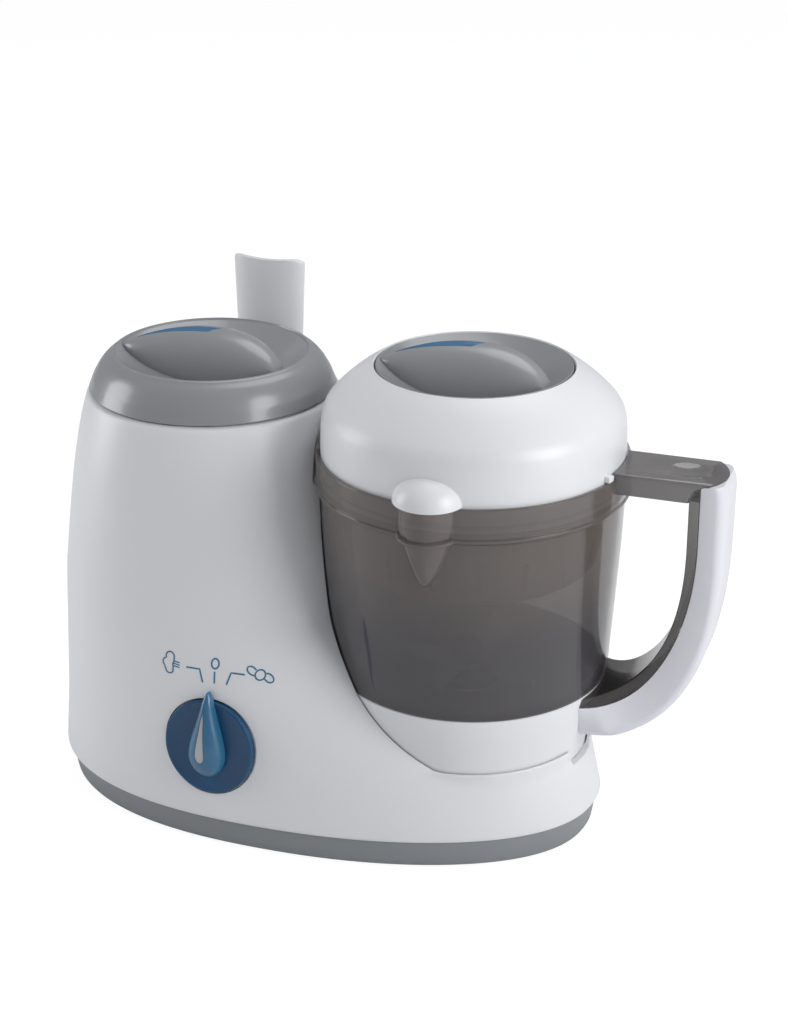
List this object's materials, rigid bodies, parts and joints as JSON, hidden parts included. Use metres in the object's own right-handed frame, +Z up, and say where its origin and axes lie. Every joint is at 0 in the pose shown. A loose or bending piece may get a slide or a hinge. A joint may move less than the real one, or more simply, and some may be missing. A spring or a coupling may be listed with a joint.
{
  "type": "baby food maker",
  "caption": "Steam cooker and blender for baby food: egg-shaped base with a water tower, lift-out lidded smoke bowl with handle and spout, selector knob and spatula.",
  "frame": {"origin": "on the table under the middle of the base", "axes": "+X runs from the water tower to the bowl and its handle, -Y is the front with the selector knob, +Z is up"},
  "size_m": [0.3128, 0.1771, 0.2273],
  "materials": {
    "white_plastic": "smooth glossy cool white",
    "grey_plastic": "smooth mid grey",
    "skirt_grey": "satin grey",
    "plate_grey": "fine grained grey",
    "foot_rubber": "soft dark rubber",
    "screw_steel": "bright zinc",
    "motor_steel": "satin",
    "bracket_plastic": "natural",
    "tank_aluminium": "satin",
    "heater_metal": "cast",
    "dark_plastic": "fine grained dark",
    "board_green": "coated board",
    "seal_silicone": "translucent silicone",
    "knob_blue": "smooth dark blue",
    "pointer_blue": "smooth light blue",
    "clear_lens": "clear",
    "inlay_blue": "smooth blue",
    "smoke_plastic": "smoked clear plastic",
    "handle_white": "smooth white with a lilac cast",
    "blade_steel": "polished stainless",
    "bronze_bush": "sintered bronze",
    "basket_plastic": "natural white",
    "amber_lamp": "amber",
    "belt_rubber": "ribbed black"
  },
  "bodies": {
    "base_unit": {"body_shell": "white_plastic", "base_skirt": "skirt_grey", "base_plate": "plate_grey", "foot_ring": "foot_rubber", "base_screws": "screw_steel", "motor_can": "motor_steel", "motor_bracket": "bracket_plastic", "water_tank": "tank_aluminium", "tank_neck": "grey_plastic", "heating_plate": "heater_metal", "thermostat": "screw_steel", "steam_pipe": "seal_silicone", "steam_nozzle": "dark_plastic", "selector_switch": "dark_plastic", "indicator_lamp": "amber_lamp", "control_board": "board_green", "cord_gland": "dark_plastic", "spatula_clip": "white_plastic", "bearing_block": "bracket_plastic", "spindle_bush": "bronze_bush", "drive_belt": "belt_rubber", "safety_switch": "dark_plastic"},
    "motor_rotor": {"motor_shaft": "screw_steel", "motor_pulley": "dark_plastic"},
    "spindle": {"spindle_shaft": "screw_steel", "driven_pulley": "dark_plastic", "drive_dog": "dark_plastic"},
    "knob": {"knob_disc": "knob_blue", "knob_pointer": "pointer_blue", "knob_lens": "clear_lens", "knob_shaft": "dark_plastic"},
    "cap_seal": {"tank_cap_seal": "seal_silicone"},
    "cap": {"tank_cap": "grey_plastic", "tank_cap_inlay": "inlay_blue"},
    "bowl_hub": {"blade_bush": "bronze_bush"},
    "bowl_set": {"bowl": "smoke_plastic", "bowl_ring": "white_plastic", "handle_frame": "smoke_plastic", "handle_shell": "handle_white"},
    "blade_set": {"blade_shaft": "blade_steel", "blade_hub": "dark_plastic", "blades": "blade_steel"},
    "basket": {"steam_basket": "basket_plastic"},
    "seal": {"lid_seal": "seal_silicone"},
    "lid": {"lid_dome": "white_plastic", "lid_insert": "grey_plastic", "lid_inlay": "inlay_blue", "lid_liner": "basket_plastic"},
    "spatula_body": {"spatula": "white_plastic"},
    "plunger": {"safety_plunger": "white_plastic"}
  },
  "joints": [
    {"name": "motor_spin", "type": "hinge", "parent": "base_unit", "child": "motor_rotor", "pos_m": [-0.058, 0.014, 0.02], "axis": [0, 0, 1], "continuous": true},
    {"name": "spindle_spin", "type": "hinge", "parent": "base_unit", "child": "spindle", "pos_m": [0.069, 0, 0.02], "axis": [0, 0, 1], "continuous": true},
    {"name": "knob_turn", "type": "hinge", "parent": "base_unit", "child": "knob", "pos_m": [-0.0216, -0.07881, 0.0485], "axis": [0, -0.9936, 0.1132], "range_deg": [-35, 35]},
    {"name": "tank_cap_lift", "type": "slide", "parent": "base_unit", "child": "cap_seal", "axis": [0, 0, 1], "range_m": [0, 0.06]},
    {"name": "tank_cap_turn", "type": "hinge", "parent": "cap_seal", "child": "cap", "pos_m": [-0.058, 0, 0.19], "axis": [0, 0, 1], "range_deg": [0, 120]},
    {"name": "bowl_lift", "type": "slide", "parent": "base_unit", "child": "bowl_hub", "axis": [0, 0, 1], "range_m": [0, 0.06]},
    {"name": "bowl_turn", "type": "hinge", "parent": "bowl_hub", "child": "bowl_set", "pos_m": [0.069, 0, 0.06], "axis": [0, 0, 1], "range_deg": [-30, 0]},
    {"name": "blade_spin", "type": "hinge", "parent": "bowl_hub", "child": "blade_set", "pos_m": [0.069, 0, 0.07], "axis": [0, 0, 1], "continuous": true},
    {"name": "lid_lift", "type": "slide", "parent": "bowl_set", "child": "seal", "axis": [0, 0, 1], "range_m": [0, 0.12]},
    {"name": "lid_turn", "type": "hinge", "parent": "seal", "child": "lid", "pos_m": [0.069, 0, 0.17], "axis": [0, 0, 1], "range_deg": [-40, 0]},
    {"name": "basket_lift", "type": "slide", "parent": "bowl_set", "child": "basket", "axis": [0, 0, 1], "range_m": [0, 0.054]},
    {"name": "spatula_lift", "type": "slide", "parent": "base_unit", "child": "spatula_body", "axis": [0, 0, 1], "range_m": [0, 0.1]},
    {"name": "interlock_press", "type": "slide", "parent": "base_unit", "child": "plunger", "axis": [0, 0, -1], "range_m": [0, 0.001], "stiffness_N_per_m": 300}
  ],
  "couplings": [
    {"joint": "spindle_spin", "follows": "motor_spin", "ratio": 0.4},
    {"joint": "blade_spin", "follows": "motor_spin", "ratio": 0.4},
    {"joint": "basket_lift", "follows": "lid_lift", "ratio": 0.45}
  ]
}
